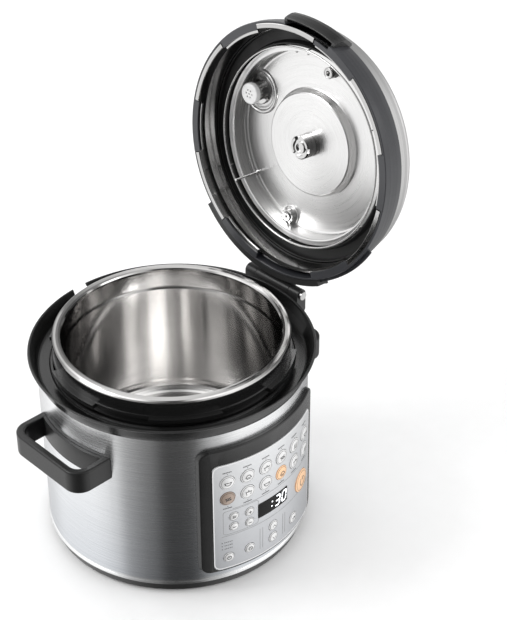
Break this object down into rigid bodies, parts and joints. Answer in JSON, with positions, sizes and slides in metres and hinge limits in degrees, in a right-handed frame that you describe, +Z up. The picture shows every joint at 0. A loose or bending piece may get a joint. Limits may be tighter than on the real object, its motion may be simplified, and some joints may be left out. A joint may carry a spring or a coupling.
{
  "type": "electric pressure cooker",
  "caption": "Round electric pressure cooker with hinged open lid, bayonet lid ring, lift-out pot, side handles and curved button panel.",
  "frame": {"origin": "centre of the base's underside, on the table", "axes": "+Z up; control panel faces -Y; lid hinge at +X; condensation collector at +Y"},
  "size_m": [0.4056, 0.3077, 0.5021],
  "materials": {
    "brushed_steel_shell": "horizontal brushing",
    "polished_steel": "polished",
    "lid_steel": "fine brushing",
    "dark_plastic": "satin",
    "black_plastic": "satin",
    "gloss_black": "gloss",
    "black_rubber": "matte",
    "cast_aluminium": "cast",
    "black_coating": "non-stick coat",
    "silver_fascia": "satin silver",
    "window_glass": "dark tint",
    "zinc_steel": "zinc plated",
    "circuit_board": "solder mask",
    "silver_button": "satin silver",
    "white_plastic": "satin",
    "smoked_plastic": "translucent smoke"
  },
  "bodies": {
    "base": {"outer_housing": "brushed_steel_shell", "base_cover": "black_plastic", "rubber_feet": "black_rubber", "housing_screws": "zinc_steel", "chassis_plate": "zinc_steel", "top_collar": "dark_plastic", "outer_pot": "black_coating", "heating_plate": "cast_aluminium", "sensor_spring": "zinc_steel", "left_handle": "dark_plastic", "right_handle": "dark_plastic", "control_panel_housing": "gloss_black", "panel_overlay": "silver_fascia", "display_window": "window_glass", "display_module": "gloss_black", "control_board": "circuit_board", "power_inlet": "black_plastic", "power_board": "circuit_board", "collector_mount": "black_plastic", "hinge_base": "black_plastic", "hinge_pin": "zinc_steel"},
    "inner_pot": {"inner_pot": "polished_steel"},
    "temperature_sensor": {"temperature_sensor": "cast_aluminium"},
    "condensation_collector": {"condensation_collector": "smoked_plastic"},
    "lid_carrier": {"lid_carrier": "black_plastic"},
    "lid": {"lid_rim": "dark_plastic", "lid_grip": "dark_plastic", "lid_cover": "lid_steel", "lid_locking_ring": "polished_steel", "pressure_lid": "lid_steel", "sealing_ring": "black_rubber", "seal_retainer": "polished_steel", "inner_lid_plate": "polished_steel", "centre_nut": "polished_steel", "anti_block_cap": "white_plastic", "safety_valve": "polished_steel"},
    "float_valve": {"float_valve": "polished_steel"},
    "steam_release_knob": {"steam_release_knob": "black_plastic"},
    "menu_button_1": {"menu_button_1": "silver_button"},
    "menu_button_2": {"menu_button_2": "silver_button"},
    "menu_button_3": {"menu_button_3": "silver_button"},
    "menu_button_4": {"menu_button_4": "silver_button"},
    "menu_button_5": {"menu_button_5": "silver_button"},
    "menu_button_6": {"menu_button_6": "silver_button"},
    "menu_button_7": {"menu_button_7": "silver_button"},
    "menu_button_8": {"menu_button_8": "silver_button"},
    "menu_button_9": {"menu_button_9": "silver_button"},
    "menu_button_10": {"menu_button_10": "silver_button"},
    "menu_button_11": {"menu_button_11": "silver_button"},
    "menu_button_12": {"menu_button_12": "silver_button"},
    "start_stop_button": {"start_stop_button": "silver_button"},
    "steam_button": {"steam_button": "silver_button"},
    "warm_button": {"warm_button": "silver_button"},
    "plus_button": {"plus_button": "silver_button"},
    "minus_button": {"minus_button": "silver_button"},
    "delay_button": {"delay_button": "silver_button"},
    "select_button": {"select_button": "silver_button"},
    "time_up_button": {"time_up_button": "silver_button"},
    "time_down_button": {"time_down_button": "silver_button"},
    "mode_button": {"mode_button": "silver_button"}
  },
  "joints": [
    {"name": "lid_hinge", "type": "hinge", "parent": "base", "child": "lid_carrier", "pos_m": [0.1525, 0.004, 0.212], "axis": [0, 1, 0], "range_deg": [-97.4, 0]},
    {"name": "lid_turn", "type": "hinge", "parent": "lid_carrier", "child": "lid", "pos_m": [0.17839, 0, 0.36242], "axis": [0.9917, 0, -0.1288], "range_deg": [0, 30]},
    {"name": "float_valve_lift", "type": "slide", "parent": "lid", "child": "float_valve", "axis": [0.9917, 0, -0.1288], "range_m": [0, 0.003]},
    {"name": "steam_knob_lift", "type": "slide", "parent": "lid", "child": "steam_release_knob", "axis": [0.9917, 0, -0.1288], "range_m": [0, 0.002]},
    {"name": "inner_pot_lift", "type": "slide", "parent": "base", "child": "inner_pot", "axis": [0, 0, 1], "range_m": [0, 0.17]},
    {"name": "temperature_sensor_press", "type": "slide", "parent": "base", "child": "temperature_sensor", "axis": [0, 0, 1], "range_m": [-0.002, 0], "stiffness_N_per_m": 600, "deforming": ["sensor_spring"]},
    {"name": "condensation_collector_slide", "type": "slide", "parent": "base", "child": "condensation_collector", "axis": [0, 1, 0], "range_m": [0, 0.035]},
    {"name": "menu_button_1_press", "type": "slide", "parent": "base", "child": "menu_button_1", "axis": [0.3766, 0.9264, 0], "range_m": [0, 0.001], "stiffness_N_per_m": 500},
    {"name": "menu_button_2_press", "type": "slide", "parent": "base", "child": "menu_button_2", "axis": [0.2296, 0.9733, 0], "range_m": [0, 0.001], "stiffness_N_per_m": 500},
    {"name": "menu_button_3_press", "type": "slide", "parent": "base", "child": "menu_button_3", "axis": [0.0772, 0.997, 0], "range_m": [0, 0.001], "stiffness_N_per_m": 500},
    {"name": "menu_button_4_press", "type": "slide", "parent": "base", "child": "menu_button_4", "axis": [-0.0772, 0.997, 0], "range_m": [0, 0.001], "stiffness_N_per_m": 500},
    {"name": "menu_button_5_press", "type": "slide", "parent": "base", "child": "menu_button_5", "axis": [-0.2296, 0.9733, 0], "range_m": [0, 0.001], "stiffness_N_per_m": 500},
    {"name": "menu_button_6_press", "type": "slide", "parent": "base", "child": "menu_button_6", "axis": [-0.3766, 0.9264, 0], "range_m": [0, 0.001], "stiffness_N_per_m": 500},
    {"name": "menu_button_7_press", "type": "slide", "parent": "base", "child": "menu_button_7", "axis": [0.3766, 0.9264, 0], "range_m": [0, 0.001], "stiffness_N_per_m": 500},
    {"name": "menu_button_8_press", "type": "slide", "parent": "base", "child": "menu_button_8", "axis": [0.2296, 0.9733, 0], "range_m": [0, 0.001], "stiffness_N_per_m": 500},
    {"name": "menu_button_9_press", "type": "slide", "parent": "base", "child": "menu_button_9", "axis": [0.0772, 0.997, 0], "range_m": [0, 0.001], "stiffness_N_per_m": 500},
    {"name": "menu_button_10_press", "type": "slide", "parent": "base", "child": "menu_button_10", "axis": [-0.0772, 0.997, 0], "range_m": [0, 0.001], "stiffness_N_per_m": 500},
    {"name": "menu_button_11_press", "type": "slide", "parent": "base", "child": "menu_button_11", "axis": [-0.2296, 0.9733, 0], "range_m": [0, 0.001], "stiffness_N_per_m": 500},
    {"name": "menu_button_12_press", "type": "slide", "parent": "base", "child": "menu_button_12", "axis": [-0.3766, 0.9264, 0], "range_m": [0, 0.001], "stiffness_N_per_m": 500},
    {"name": "start_stop_button_press", "type": "slide", "parent": "base", "child": "start_stop_button", "axis": [-0.3387, 0.9409, 0], "range_m": [0, 0.001], "stiffness_N_per_m": 500},
    {"name": "steam_button_press", "type": "slide", "parent": "base", "child": "steam_button", "axis": [0.3355, 0.9421, 0], "range_m": [0, 0.001], "stiffness_N_per_m": 500},
    {"name": "warm_button_press", "type": "slide", "parent": "base", "child": "warm_button", "axis": [0.3355, 0.9421, 0], "range_m": [0, 0.001], "stiffness_N_per_m": 500},
    {"name": "plus_button_press", "type": "slide", "parent": "base", "child": "plus_button", "axis": [0.2164, 0.9763, 0], "range_m": [0, 0.001], "stiffness_N_per_m": 500},
    {"name": "minus_button_press", "type": "slide", "parent": "base", "child": "minus_button", "axis": [0.2164, 0.9763, 0], "range_m": [0, 0.001], "stiffness_N_per_m": 500},
    {"name": "delay_button_press", "type": "slide", "parent": "base", "child": "delay_button", "axis": [0.3746, 0.9272, 0], "range_m": [0, 0.001], "stiffness_N_per_m": 500},
    {"name": "select_button_press", "type": "slide", "parent": "base", "child": "select_button", "axis": [0.2164, 0.9763, 0], "range_m": [0, 0.001], "stiffness_N_per_m": 500},
    {"name": "time_up_button_press", "type": "slide", "parent": "base", "child": "time_up_button", "axis": [0.0052, 1, 0], "range_m": [0, 0.001], "stiffness_N_per_m": 500},
    {"name": "time_down_button_press", "type": "slide", "parent": "base", "child": "time_down_button", "axis": [0.0052, 1, 0], "range_m": [0, 0.001], "stiffness_N_per_m": 500},
    {"name": "mode_button_press", "type": "slide", "parent": "base", "child": "mode_button", "axis": [-0.2215, 0.9751, 0], "range_m": [0, 0.001], "stiffness_N_per_m": 500}
  ]
}
